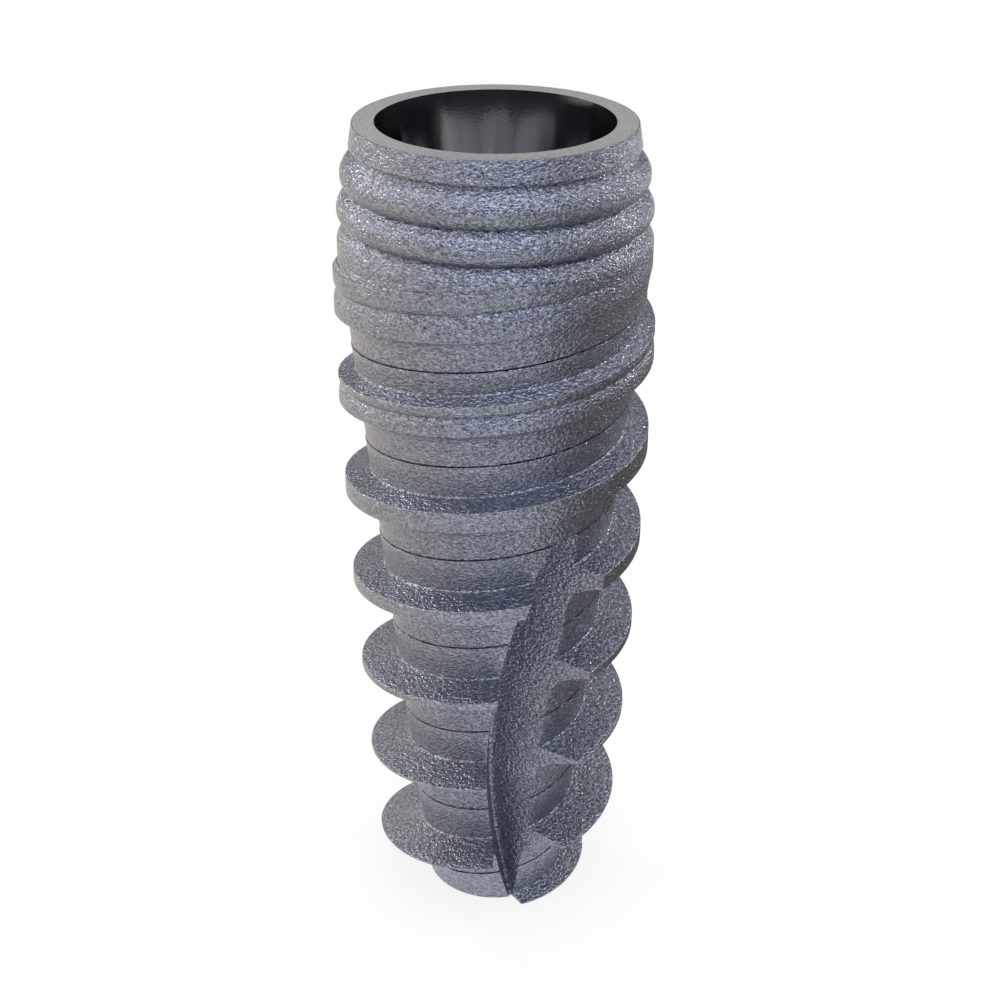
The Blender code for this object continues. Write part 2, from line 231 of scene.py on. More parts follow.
@dataclass
class Thread:
    """Single right-hand thread with a flat upper and a rounded lower flank."""

    core: Core
    pitch: float = 1.474 * MM
    first_depth: float = 1.49 * MM
    top_radius: float = 2.10 * MM
    top_radius_depth: float = 2.0 * MM
    foot_radius: float = 1.72 * MM
    foot_height: float = 0.8 * MM
    barrel_power: float = 1.75
    run_out_height: float = 0.43 * MM
    run_out_pitch_share: float = 0.63
    run_out_slope: float = 0.50
    run_out_radius: float = 1.10 * MM
    end_angle: float = math.radians(13) - math.tau * 7
    end_fade: float = math.radians(3)
    fade_start: float = math.radians(20)
    fade_end: float = math.radians(-80)
    notch_fade_start: float = math.radians(190)
    notch_fade_end: float = math.radians(110)
    flank_rise: float = 0.06 * MM
    shares: tuple[float, ...] = (0.0, 0.1165, 0.264, 0.411, 0.558, 0.7055, 0.853, 1.0)
    crest_flats: tuple[float, ...] = (0.02, 0.02, 0.035, 0.1, 0.2, 0.28, 0.4, 0.66)
    root_widths: tuple[float, ...] = (0.45, 0.63, 0.83, 0.852, 0.856, 0.896, 0.943, 1.075)
    flank_power: float = 6.0
    edge_round: float = 0.018 * MM
    root_round: float = 0.03 * MM
    groove_depth: float = 0.055 * MM
    groove_upper: float = 0.12 * MM
    groove_lower: float = 0.16 * MM
    groove_drop: float = 0.313 * MM
    groove_drop_per_turn: float = -0.141 * MM
    groove_start: float = math.radians(75)
    groove_end: float = math.radians(-555)
    groove_fade: float = math.radians(75)
    notch_depth: float = 0.035 * MM
    notch_half_width: float = 0.022 * MM
    ledge: float = 0.012 * MM
    steps_per_turn: int = 150
    top_margin: float = 0.3 * MM
    flank_rows: int = 10

    def first_height(self) -> float:
        """Height of the first crest's edge at the front."""
        return self.core.length - self.first_depth

    def helix_height(self, angle: np.ndarray) -> np.ndarray:
        """Height of the helix, where one turn down is -2 pi."""
        return self.first_height() + self.pitch * angle / math.tau

    def crest_height(self, angle: np.ndarray) -> np.ndarray:
        """Height of the crest's upper edge, which falls more slowly in the run-out.

        Args:
            angle: Helix angle of each station.

        Returns:
            The height at each station.
        """
        helix = self.helix_height(angle)
        run_out = self.run_out_height - (self.run_out_height - helix) * self.run_out_pitch_share
        return np.maximum(helix, run_out)

    def shown(self, angle: np.ndarray) -> np.ndarray:
        """Share of the thread's relief that stands out of the collar."""
        return smooth_step((angle - self.fade_start) / (self.fade_end - self.fade_start))

    def crest_radius(self, angle: np.ndarray) -> np.ndarray:
        """Outer radius: a slight barrel, faded in at the collar and run out below.

        Args:
            angle: Helix angle of each station.

        Returns:
            The crest's radius at each station.
        """
        height = self.helix_height(angle)
        barrel_top = self.core.length - self.top_radius_depth
        drop = np.maximum(barrel_top - height, 0.0) / (barrel_top - self.foot_height)
        drop = np.minimum(drop, 1.0)
        radius = self.top_radius - (self.top_radius - self.foot_radius) * drop ** self.barrel_power
        run_out = self.foot_radius - self.run_out_slope * (self.foot_height - height)
        run_out = np.maximum(run_out, self.run_out_radius)
        radius = np.where(height < self.foot_height, run_out, radius)
        radius = self.core.top_radius + (radius - self.core.top_radius) * self.shown(angle)
        bare = self.core.radius(self.crest_height(angle))
        return bare + (radius - bare) * smooth_step((angle - self.end_angle) / self.end_fade)

    def groove_share(self, angle: np.ndarray) -> np.ndarray:
        """Share of the crest groove's depth, 0 past its two ends."""
        from_end = np.minimum(self.groove_start - angle, angle - self.groove_end)
        return smooth_step(from_end / self.groove_fade)

    def share(self, angle: np.ndarray) -> np.ndarray:
        """Place along the thread, 0 at the apex and 1 at the first crest."""
        return np.clip(self.helix_height(angle) / self.first_height(), 0.0, 1.0)

    def crest_flat(self, angle: np.ndarray) -> np.ndarray:
        """Width of the crest's upright face."""
        return np.interp(self.share(angle), self.shares, self.crest_flats) * MM

    def edge_rounding(self, angle: np.ndarray) -> np.ndarray:
        """Height of the crest's rounded upper edge, less where the crest is thin."""
        return np.minimum(self.edge_round, 0.4 * self.crest_flat(angle))

    def edge_inset(self, angle: np.ndarray) -> np.ndarray:
        """Radial size of the crest's rounded edge, none where the crest isn't proud."""
        proud = self.crest_radius(angle) - self.core.radius(self.crest_height(angle))
        return np.clip(proud, 0.0, self.edge_rounding(angle))

    def profile(self, angle: np.ndarray) -> tuple[np.ndarray, np.ndarray]:
        """Radii and heights from one crest edge down to the next.

        Args:
            angle: Helix angle of each station.

        Returns:
            Two arrays of stations by rows.
        """
        flat = self.crest_flat(angle)
        width = np.interp(self.share(angle), self.shares, self.root_widths) * MM
        top, crest = self.crest_height(angle), self.crest_radius(angle)
        rows: Rows = []
        drop, inset = self.edge_rounding(angle), self.edge_inset(angle)
        for turn in (0.0, 30.0, 60.0, 90.0):
            lean = math.radians(turn)
            rows.append((crest - inset * (1 - math.sin(lean)), top - drop * (1 - math.cos(lean))))
        rows += self._groove_rows(angle, crest, top)
        foot, root = top - flat, top - width
        proud = crest - self.core.radius(foot)
        for step in range(self.flank_rows):
            part = 1 - math.cos(math.pi / 2 * step / self.flank_rows)
            height = foot - (foot - root) * part
            rows.append((self.core.radius(height) + proud * (1 - part) ** self.flank_power, height))
        rows += self._band_rows(angle, root)
        rows += self._root_rows(angle - math.tau)
        radii = np.stack([row[0] for row in rows], axis=-1)
        heights = np.stack([row[1] for row in rows], axis=-1)
        return radii, heights

    def _groove_rows(self, angle: np.ndarray, crest: np.ndarray, top: np.ndarray) -> Rows:
        """Rows down the crest face, over the groove that runs along it.

        Args:
            angle: Helix angle of each station.
            crest: Crest radius at each station.
            top: Height of the crest's upper edge at each.

        Returns:
            Radius and height of each row, at every station.
        """
        turns = -angle / math.tau
        face_top = self.edge_rounding(angle)
        face = self.crest_flat(angle) - face_top
        upper = np.minimum(self.groove_upper, 0.3 * face)
        lower = np.minimum(self.groove_lower, 0.4 * face)
        drop = self.groove_drop + self.groove_drop_per_turn * turns
        drop = np.clip(drop, face_top + upper + 0.05 * face, face_top + 0.95 * face - lower)
        depth = self.groove_depth * self.groove_share(angle)
        middle = top - drop
        above = [(upper, 1.0, 0.0), (upper, 0.6, 0.16), (upper, 0.25, 0.56), (upper, 0.0, 1.0)]
        below = [(lower, -0.25, 0.56), (lower, -0.6, 0.16), (lower, -1.0, 0.0)]
        return [
            (crest - depth * deep, middle + reach * place)
            for reach, place, deep in above + below
        ]

    def _band_rows(self, angle: np.ndarray, root: np.ndarray) -> Rows:
        """Rows over the notch under the thread and down the bare band of the core.

        Args:
            angle: Helix angle of each station.
            root: Height of the thread's root at each station.

        Returns:
            Radius and height of each row, at every station.
        """
        fade = self.notch_fade_end - self.notch_fade_start
        notch = smooth_step((angle - self.notch_fade_start) / fade)
        half, depth = self.notch_half_width, self.notch_depth * notch
        ledge = self.ledge * notch
        core = self.core.radius(root)
        band_foot = self.crest_height(angle - math.tau) + self.flank_rise + self.root_round
        edge = root - half
        span = edge - band_foot
        rows = [
            (core, root),
            (core - depth * 0.75, root - half * 0.3),
            (core - depth, root - half * 0.6),
            (self.core.radius(edge) + ledge * 0.6, edge),
            (self.core.radius(edge) + ledge, edge - half * 0.6),
        ]
        for part, lift in ((0.3, 0.6), (0.65, 0.2)):
            height = edge - span * part
            rows.append((self.core.radius(height) + ledge * lift, height))
        return rows

    def _root_rows(self, below: np.ndarray) -> Rows:
        """Rows round the root's fillet and out over the flat upper flank of the turn below.

        Args:
            below: Helix angle of each station, one turn down.

        Returns:
            Radius and height of each row, at every station.
        """
        top = self.crest_height(below)
        edge = self.crest_radius(below) - self.edge_inset(below)
        root = top + self.flank_rise
        core = self.core.radius(root)
        fillet = np.minimum(self.root_round, 0.5 * np.maximum(edge - core, 0.0))
        rows = []
        for turn in (0.0, 30.0, 60.0, 90.0):
            lean = math.radians(turn)
            height = root + self.root_round * (1 - math.sin(lean))
            rows.append((core + fillet * (1 - math.cos(lean)), height))
        for part in (0.33, 0.67, 1.0):
            outer = core + fillet + (edge - core - fillet) * part
            rows.append((outer, root - self.flank_rise * part))
        return rows

    def build(self) -> bpy.types.Object:
        """Make the helical skin, longer than the fixture at both ends.

        Returns:
            The closed skin.
        """
        above = self.core.length + self.top_margin + self.pitch - self.first_height()
        below = self.first_height() + self.top_margin
        first = math.ceil(above / self.pitch * self.steps_per_turn)
        last = math.ceil(below / self.pitch * self.steps_per_turn)
        angle = -np.arange(-first, last + 1) * math.tau / self.steps_per_turn
        radii, heights = self.profile(angle)
        return wrapped_grid("thread_skin", polar(radii, angle[:, None], heights))


@dataclass
class Collar:
    """Platform, band and rounded rings, as the envelope that trims the skin."""

    length: float
    platform_radius: float = 1.80 * MM
    band_radius: float = 1.845 * MM
    band_depth: float = 0.29 * MM
    band_turn: float = 0.008 * MM
    crease_radius: float = 1.778 * MM
    crease_depth: float = 0.308 * MM
    groove_depths: tuple[float, ...] = (0.38 * MM, 0.83 * MM, 1.269 * MM)
    groove_radii: tuple[float, ...] = (1.816 * MM, 1.865 * MM, 1.895 * MM)
    ring_radii: tuple[float, ...] = (1.966 * MM, 2.022 * MM, 2.033 * MM)
    upper_round: float = 0.243 * MM
    lower_round: float = 0.165 * MM
    round_power: float = 1.84
    flare_depth: float = 0.29 * MM
    flare: tuple[tuple[float, float], ...] = ((0.0, 2.036), (0.06, 2.06), (0.2, 2.2), (0.5, 2.6))
    open_radius: float = 2.6 * MM
    edge_round: float = 0.015 * MM
    ring_levels: int = 22
    segments: int = 192

    def ring_radius(self, index: int, below: float, above: float) -> float:
        """Radius of a ring at a distance below its upper groove and above its lower one.

        Args:
            index: The ring's number, from the top.
            below: Distance below its upper groove.
            above: Distance above its lower groove.

        Returns:
            The ring's radius there.
        """
        ring = self.ring_radii[index]
        upper_step = ring - self.groove_radii[index]
        upper = upper_step * max(1 - below / self.upper_round, 0.0) ** self.round_power
        if index == len(self.ring_radii) - 1:
            return ring - upper
        lower_step = ring - self.groove_radii[index + 1]
        lower = lower_step * max(1 - above / self.lower_round, 0.0) ** self.round_power
        return ring - max(upper, lower)

    def build(self) -> bpy.types.Object:
        """Turn the envelope from the apex plane up to the platform.

        Returns:
            The envelope.
        """
        points = [(self.platform_radius - self.edge_round, 0.0)]
        points.append((self.platform_radius - 0.3 * self.edge_round, 0.3 * self.edge_round))
        points.append((self.platform_radius, self.edge_round))
        points.append((self.band_radius, self.band_depth - self.band_turn))
        points.append((self.band_radius - 0.5 * self.band_turn, self.band_depth))
        points.append((self.crease_radius, self.crease_depth))
        lip_depth = self.crease_depth + 3 * self.band_turn
        points.append((self.crease_radius + 0.4 * self.band_turn, lip_depth))
        ends = (*self.groove_depths[1:], self.groove_depths[-1] + self.flare_depth)
        for index, (top, foot) in enumerate(zip(self.groove_depths, ends)):
            for step in range(self.ring_levels):
                depth = top + (foot - top) * step / self.ring_levels
                points.append((self.ring_radius(index, depth - top, foot - depth), depth))
        for drop, radius in self.flare:
            points.append((radius * MM, ends[-1] + drop * MM))
        points.append((self.open_radius, self.length))
        profile = [(radius, self.length - depth) for radius, depth in points[::-1]]
        return turned_solid("collar_envelope", profile, self.segments)


@dataclass
class Flute:
    """One cutting flute: a steep arched wall, a round corner and a rake face."""

    core: Core
    turn: float
    top_height: float = 6.34 * MM
    top_round: float = 0.15 * MM
    wall_radius: float = 9.1 * MM
    wall_offset: float = -0.11 * MM
    wall_height: float = 2.4 * MM
    places: tuple[float, ...] = (0.0, 1.3, 2.5, 4.0, 5.5)
    edge_azimuths: tuple[float, ...] = (15.5, 25.0, 27.5, 34.0, 41.5)
    rakes: tuple[float, ...] = (58.0, 37.0, 29.0, 29.0, 29.0)
    blend: float = 0.35
    corner: float = 0.16 * MM
    reach: float = 2.7 * MM
    margin: float = 0.4 * MM
    levels: int = 60

    def _eased(self, height: float, values: tuple[float, ...]) -> float:
        """Angle at a height, read from a table in degrees and eased past its corners."""
        near = height / MM + np.linspace(-self.blend, self.blend, 9)
        return math.radians(float(np.mean(np.interp(near, self.places, values))))

    def _wall(self, height: float) -> float:
        """Sideways place of the steep wall, an arc that is rounded off at its top.

        Args:
            height: Height above the apex.

        Returns:
            The wall's X at that height.
        """
        rise = height - self.wall_height
        in_round = min(max(height - (self.top_height - self.top_round), 0.0), self.top_round)
        arc = self.wall_radius - math.sqrt(self.wall_radius ** 2 - rise ** 2)
        rounded_from = self.wall_offset + arc + self.top_round
        return rounded_from - math.sqrt(self.top_round ** 2 - in_round ** 2)

    def section(self, height: float) -> list[Vector]:
        """Corners of the cut at a height.

        Args:
            height: Height above the apex.

        Returns:
            The corners in order, the first repeated at the end.
        """
        azimuth = self._eased(height, self.edge_azimuths)
        rake = self._eased(height, self.rakes)
        radius = float(self.core.radius(height))
        edge = Vector((radius * math.sin(azimuth), -radius * math.cos(azimuth), height))
        along = Vector((math.cos(rake), -math.sin(rake), 0.0))
        wall = self._wall(height)
        corner = edge + along * ((wall - edge.x) / along.x)
        outward = Vector((0.0, -1.0, 0.0))
        start, end = corner + outward * self.corner, corner + along * self.corner
        points = [Vector((wall, -2 * self.reach, height))]
        for step in range(9):
            share = step / 8
            near, far = (1 - share) ** 2, share ** 2
            points.append(start * near + corner * 2 * share * (1 - share) + end * far)
        for share in (0.25, 0.5, 1.0):
            points.append(edge + along * self.reach * share)
        points.append(Vector((points[-1].x, -2 * self.reach, height)))
        points.append(points[0].copy())
        return points

    def build(self) -> bpy.types.Object:
        """Make the cutter and turn it to its place.

        Returns:
            The cutter.
        """
        round_start = self.top_height - self.top_round
        heights = np.linspace(-self.margin, round_start, self.levels)
        rounding = round_start + self.top_round * np.sin(np.radians((15, 30, 45, 60, 75, 90)))
        heights = np.concatenate([heights, rounding])
        places = np.array([[tuple(point) for point in self.section(height)] for height in heights])
        tool = wrapped_grid("flute_cutter", places)
        tool.data.transform(Matrix.Rotation(self.turn, 4, "Z"))
        return tool


@dataclass
class Bore:
    """Conical seat, hexagon socket and tapped screw hole."""

    length: float
    mouth_radius: float = 1.515 * MM
    seat_depth: float = 1.9 * MM
    seat_angle: float = math.radians(11)
    across_flats: float = 2.1 * MM
    hex_length: float = 1.2 * MM
    hole_radius: float = 0.78 * MM
    hole_depth: float = 5.0 * MM
    tip_angle: float = math.radians(59)
    tap_pitch: float = 0.35 * MM
    tap_depth: float = 0.13 * MM
    corner_round: float = 0.06 * MM
    margin: float = 0.5 * MM
    segments: int = 160

    def seat_radius(self, height: float) -> float:
        """Radius of the conical seat at a height."""
        return self.mouth_radius - (self.length - height) * math.tan(self.seat_angle)

    def build(self) -> list[bpy.types.Object]:
        """Make the cutters for the seat, the socket and the screw hole.

        Returns:
            The three cutters.
        """
        tip = self.hole_radius / math.tan(self.tip_angle)
        floor = self.length - self.hole_depth
        seat_foot = self.length - self.seat_depth
        profile = [
            (0.02 * MM, floor - tip),
            (self.hole_radius, floor),
            (self.hole_radius, seat_foot),
            (self.seat_radius(seat_foot), seat_foot),
            (self.seat_radius(self.length + self.margin), self.length + self.margin),
        ]
        tools = [turned_solid("seat_cutter", profile, self.segments)]
        tools.append(self._hexagon(seat_foot))
        tools.append(self._tap(floor, seat_foot - self.hex_length))
        return tools

    def _hexagon(self, seat_foot: float) -> bpy.types.Object:
        """Make the hexagon's cutter, with its corners eased.

        Args:
            seat_foot: Height of the seat's lower end.

        Returns:
            The cutter.
        """
        top = seat_foot + self.seat_depth / 2
        foot = seat_foot - self.hex_length
        deselect_all()
        bpy.ops.mesh.primitive_cylinder_add(
            vertices=6,
            radius=self.across_flats / math.sqrt(3),
            depth=top - foot,
            location=(0.0, 0.0, (top + foot) / 2),
        )
        tool = name_active("hexagon_cutter")
        bpy.ops.object.transform_apply(location=True, rotation=True, scale=True)
        upright = tool.modifiers.new("corners", "BEVEL")
        upright.width = self.corner_round
        upright.segments = 4
        upright.limit_method = "ANGLE"
        upright.angle_limit = math.radians(50)
        upright.affect = "EDGES"
        bpy.ops.object.modifier_apply(modifier=upright.name)
        return tool

    def _tap(self, floor: float, top: float) -> bpy.types.Object:
        """Make the cutter for the screw hole's inner thread.

        Args:
            floor: Height of the hole's floor.
            top: Height of its mouth.

        Returns:
            The cutter.
        """
        steps = 48
        turns = (top - floor) / self.tap_pitch
        angle = np.arange(-steps, math.ceil(turns * steps) + steps) * math.tau / steps
        shape = np.array([(0.0, 0.0), (0.15, 1.0), (0.35, 1.0), (0.5, 0.0), (1.0, 0.0)])
        heights = top - self.tap_pitch * (angle[:, None] / math.tau + shape[None, :, 0])
        inside = smooth_step((heights - floor - self.tap_pitch) / self.tap_pitch)
        radii = self.hole_radius - 0.01 * MM + self.tap_depth * shape[None, :, 1] * inside
        heights = np.clip(heights, floor, top + self.tap_pitch)
        return wrapped_grid("tap_cutter", polar(radii, -angle[:, None], heights))


def add_node(
    tree: bpy.types.NodeTree, kind: str, settings: dict | None = None, links: dict | None = None
) -> bpy.types.Node:
    """Add a shader node with its settings and links.

    Args:
        tree: Node tree that takes the node.
        kind: Node type, such as "ShaderNodeBump".
        settings: Node properties, or input values by socket name or number.
        links: Output sockets by the name or number of the input that they feed.

    Returns:
        The new node.
    """
    node = tree.nodes.new(kind)
    for name, value in (settings or {}).items():
        if isinstance(name, int) or name in node.inputs:
            node.inputs[name].default_value = value
        else:
            setattr(node, name, value)
    for name, output in (links or {}).items():
        tree.links.new(output, node.inputs[name])
    return node


def new_metal(name: str, roughness: float) -> Metal:
    """Start a metal, which keeps the shader's own index of refraction.

    Args:
        name: Name of the material.
        roughness: Roughness, the same all over.

    Returns:
        The material, its node tree and its shader.
    """
    material = bpy.data.materials.new(name)
    material.use_nodes = True
    tree = material.node_tree
    shader = tree.nodes["Principled BSDF"]
    shader.inputs["Metallic"].default_value = 1.0
    shader.inputs["Roughness"].default_value = roughness
    return material, tree, shader


@dataclass(frozen=True)
class BlastedTitanium:
    """Titanium, turned, grit-blasted and acid-etched.

    Grit and acid leave overlapping dents and ridges, so the skin is a matt
    blue-grey that breaks up into fine wrinkles. The dents are painted darker,
    as painted shade.
    """

    ridge: str = "aaafbc"
    # Painted shade: the dents are coloured darker than the ridges, as the shade that falls in them
    painted_dent_shade: str = "858995"
    roughness: float = 0.31
    # Real dents are 0.005 to 0.02 mm wide, and are drawn 0.05 mm wide so that they show
    dent_width: float = 0.05 * MM
    dent_depth: float = 0.032 * MM
    # Turning before the blasting draws the dents out a little along the circumference
    dent_squash: float = 1.6
    # Uneven blasting leaves broad, shallow patches
    patch_width: float = 0.45 * MM
    patch_depth: float = 0.010 * MM

    def make(self) -> bpy.types.Material:
        """Make the blasted and etched skin.

        Returns:
            The material.
        """
        material, tree, shader = new_metal("blasted_etched_titanium", self.roughness)
        place = add_node(tree, "ShaderNodeTexCoord").outputs["Object"]
        drawn = add_node(
            tree,
            "ShaderNodeMapping",
            {"Scale": (1.0, 1.0, self.dent_squash)},
            {"Vector": place},
        )
        dents = add_node(
            tree,
            "ShaderNodeTexNoise",
            {"Scale": 1.0 / self.dent_width, "Detail": 1.5, "Roughness": 0.5, "Distortion": 0.5},
            {"Vector": drawn.outputs["Vector"]},
        )
        patches = add_node(
            tree,
            "ShaderNodeTexNoise",
            {"Scale": 0.5 / self.patch_width, "Detail": 3.0, "Roughness": 0.5},
            {"Vector": place},
        )
        soft = add_node(
            tree,
            "ShaderNodeBump",
            {"Strength": 1.0, "Distance": self.patch_depth},
            {"Height": patches.outputs["Fac"]},
        )
        grain = add_node(
            tree,
            "ShaderNodeBump",
            {"Strength": 1.0, "Distance": self.dent_depth},
            {"Height": dents.outputs["Fac"], "Normal": soft.outputs["Normal"]},
        )
        # Painted shade: the colour darkens towards the dent colour where the dents lie deep
        depth = add_node(
            tree,
            "ShaderNodeMapRange",
            {"From Min": 0.38, "From Max": 0.62},
            {"Value": dents.outputs["Fac"]},
        )
        colour = add_node(
            tree,
            "ShaderNodeMix",
            {"data_type": "RGBA", 6: linear(self.painted_dent_shade), 7: linear(self.ridge)},
            {0: depth.outputs["Result"]},
        )
        tree.links.new(colour.outputs[2], shader.inputs["Base Color"])
        tree.links.new(grain.outputs["Normal"], shader.inputs["Normal"])
        return material


@dataclass(frozen=True)
class MachinedPlatform:
    """Titanium faced on a lathe and left as cut, with only a light blast.

    Facing leaves fine rings round the axis, so the platform is a plain, even
    and slightly warm grey, lighter than the blasted skin. Part of that lightness
    is painted light on the top face.
    """

    # Painted light: lighter than bare titanium, to make up for the grey ceiling card that the
    # platform reflects
    colour: str = "efeeed"
    worn_and_painted_streak: str = "a6a6a7"
    roughness: float = 0.46
    # Real tool marks are about 0.01 mm apart, and are drawn at 0.03 mm so that they show
    mark_pitch: float = 0.03 * MM
    mark_depth: float = 0.0012 * MM
    # The wave texture draws one ring in this length at scale 1
    wave_length: float = 0.314
    # Real blast grain is about 0.01 mm wide, and is drawn 0.05 mm wide so that it shows
    grain: float = 0.05 * MM
    grain_depth: float = 0.0108 * MM

    def make(self) -> bpy.types.Material:
        """Make the faced platform.

        Returns:
            The material.
        """
        material, tree, shader = new_metal("faced_titanium", self.roughness)
        place = add_node(tree, "ShaderNodeTexCoord").outputs["Object"]
        rings = add_node(
            tree,
            "ShaderNodeTexWave",
            {
                "wave_type": "RINGS",
                "rings_direction": "Z",
                "Scale": self.wave_length / self.mark_pitch,
                "Distortion": 0.6,
                "Detail": 2.0,
            },
            {"Vector": place},
        )
        grit = add_node(
            tree,
            "ShaderNodeTexNoise",
            {"Scale": 1.0 / self.grain, "Detail": 2.0, "Roughness": 0.6},
            {"Vector": place},
        )
        marks = add_node(
            tree,
            "ShaderNodeBump",
            {"Strength": 1.0, "Distance": self.mark_depth},
            {"Height": rings.outputs["Fac"]},
        )
        skin = add_node(
            tree,
            "ShaderNodeBump",
            {"Strength": 1.0, "Distance": self.grain_depth},
            {"Height": grit.outputs["Fac"], "Normal": marks.outputs["Normal"]},
        )
        # The colour here carries painted light on the top face, lighter than bare titanium
        colour = add_node(
            tree,
            "ShaderNodeMix",
            {"data_type": "RGBA", 6: linear(self.worn_and_painted_streak), 7: linear(self.colour)},
            {0: grit.outputs["Fac"]},
        )
        tree.links.new(colour.outputs[2], shader.inputs["Base Color"])
        tree.links.new(skin.outputs["Normal"], shader.inputs["Normal"])
        return material


@dataclass(frozen=True)
class PolishedBore:
    """Titanium bored and polished along the axis, to seal against the abutment.

    Polishing leaves the wall smooth but a little wavy across its lines, so the
    room's light breaks into soft upright streaks, and the sides fall into the dark.
    The streaks are also painted into the colour, lighter and darker along the
    lines, as painted reflection.
    """

    # Painted reflection: the colour runs from this light tone to the dark one in upright streaks
    # along the polishing lines
    colour: str = "acaeb2"
    worn_and_painted_streak: str = "7a7c80"
    roughness: float = 0.14
    # Polishing lines run down the wall: real ones are about 0.02 mm wide, and are
    # drawn 0.3 mm wide so that they show
    line_width: float = 0.3 * MM
    line_stretch: float = 0.08
    line_depth: float = 0.03 * MM
    # Real grain is about 0.005 mm wide, and is drawn 0.03 mm wide so that it shows
    grain: float = 0.03 * MM
    grain_depth: float = 0.0008 * MM

    def make(self) -> bpy.types.Material:
        """Make the polished bore.

        Returns:
            The material.
        """
        material, tree, shader = new_metal("polished_titanium", self.roughness)
        place = add_node(tree, "ShaderNodeTexCoord").outputs["Object"]
        drawn = add_node(
            tree,
            "ShaderNodeMapping",
            {"Scale": (1.0, 1.0, self.line_stretch)},
            {"Vector": place},
        )
        lines = add_node(
            tree,
            "ShaderNodeTexNoise",
            {"Scale": 0.5 / self.line_width, "Detail": 2.0, "Roughness": 0.5},
            {"Vector": drawn.outputs["Vector"]},
        )
        waves = add_node(
            tree,
            "ShaderNodeBump",
            {"Strength": 1.0, "Distance": self.line_depth},
            {"Height": lines.outputs["Fac"]},
        )
        grain = add_node(
            tree,
            "ShaderNodeTexNoise",
            {"Scale": 1.0 / self.grain, "Detail": 1.0},
            {"Vector": place},
        )
        bump = add_node(
            tree,
            "ShaderNodeBump",
            {"Strength": 1.0, "Distance": self.grain_depth},
            {"Height": grain.outputs["Fac"], "Normal": waves.outputs["Normal"]},
        )
        # Painted reflection: upright light and dark streaks in the colour, along the polishing
        # lines
        colour = add_node(
            tree,
            "ShaderNodeMix",
            {"data_type": "RGBA", 6: linear(self.worn_and_painted_streak), 7: linear(self.colour)},
            {0: lines.outputs["Fac"]},
        )
        tree.links.new(colour.outputs[2], shader.inputs["Base Color"])
        tree.links.new(bump.outputs["Normal"], shader.inputs["Normal"])
        return material


@dataclass(frozen=True)
class Camera:
    """View of the photograph, in the object's frame."""

    distance: float = 21.42 * MM
    rise: float = 5.72 * MM
    side: float = 0.069 * MM
    pitch: float = math.radians(27.27)
    roll: float = math.radians(0.166)
    focal_pixels: float = 1742.0
    image_pixels: float = 1000.0
    sensor: float = 36.0

    def build(self, length: float) -> None:
        """Place the camera in front of the platform, looking down at the fixture.

        Args:
            length: Height of the platform.
        """
        data = bpy.data.cameras.new("photo_view")
        data.sensor_width = self.sensor
        data.lens = self.focal_pixels / self.image_pixels * self.sensor
        data.clip_start = 1.0 * MM
        data.clip_end = 10.0
        camera = bpy.data.objects.new("photo_view", data)
        bpy.context.scene.collection.objects.link(camera)
        camera.location = (self.side, -self.distance, length + self.rise)
        lean = Matrix.Rotation(math.pi / 2 - self.pitch, 4, "X")
        tilt = lean @ Matrix.Rotation(self.roll, 4, "Z")
        camera.rotation_euler = tilt.to_euler()
        bpy.context.scene.camera = camera


@dataclass
class Fixture:
    """The whole implant, made as one closed mesh."""

    length: float
    flutes: int = 2
    smooth_angle: float = math.radians(32)
    # How far past the bore's own sizes a face still counts as its wall
    wall_margin: float = 0.06 * MM
    corner_margin: float = 0.02 * MM

    def build(self) -> bpy.types.Object:
        """Model, finish and register the fixture.

        Returns:
            The finished fixture.
        """
        core = Core(self.length)
        piece = Thread(core).build()
        piece.name = PIECE
        piece.data.name = PIECE
        log.info("skin %d faces", len(piece.data.polygons))
        cut(piece, Collar(self.length).build(), "INTERSECT")
        for index in range(self.flutes):
            cut(piece, Flute(core, math.tau * index / self.flutes).build(), "DIFFERENCE")
        bore = Bore(self.length)
        for tool in bore.build():
            cut(piece, tool, "DIFFERENCE")
        self._dress(piece, bore)
        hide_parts(NODE)
        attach(piece, BODY)
        log.info("%s: %d faces", piece.name, len(piece.data.polygons))
        return piece

    def _dress(self, piece: bpy.types.Object, bore: Bore) -> None:
        """Give each face its material and smooth the mesh by angle.

        Args:
            piece: The fixture.
            bore: Its bore, which says where the polished faces are.
        """
        mesh = piece.data
        mesh.materials.clear()
        for finish in (BlastedTitanium(), MachinedPlatform(), PolishedBore()):
            mesh.materials.append(finish.make())
        for polygon in mesh.polygons:
            centre = polygon.center
            radius = math.hypot(centre.x, centre.y)
            polygon.material_index = Slot.BLASTED.value
            if centre.z > self.length - WELD:
                polygon.material_index = Slot.PLATFORM.value
            elif centre.z > self.length - bore.hole_depth - bore.hole_radius:
                inner = max(bore.seat_radius(centre.z), bore.across_flats / 2)
                in_seat = centre.z > self.length - bore.seat_depth
                if radius < inner + self.wall_margin and in_seat:
                    polygon.material_index = Slot.BORE.value
                elif radius < bore.across_flats / math.sqrt(3) + self.corner_margin:
                    polygon.material_index = Slot.BORE.value
        deselect_all()
        piece.select_set(True)
        bpy.context.view_layer.objects.active = piece
        bpy.ops.object.shade_smooth_by_angle(angle=self.smooth_angle)


@dataclass(frozen=True)
class Lamp:
    """Square soft lamp that faces the fixture, sized and placed in millimetres."""

    name: str
    place: tuple[float, float, float]
    size: float
    power: float
    tint: str
    target: tuple[float, float, float] = (0, 0, 6)

    def build(self) -> None:
        """Add the lamp."""
        data = bpy.data.lights.new(self.name, "AREA")
        data.energy = self.power
        data.size = self.size * MM
        data.color = linear(self.tint)[:3]
        lamp = bpy.data.objects.new(self.name, data)
        bpy.context.scene.collection.objects.link(lamp)
        lamp.location = Vector(self.place) * MM
        facing = Vector(self.target) * MM - lamp.location
        lamp.rotation_euler = facing.to_track_quat("-Z", "Y").to_euler()


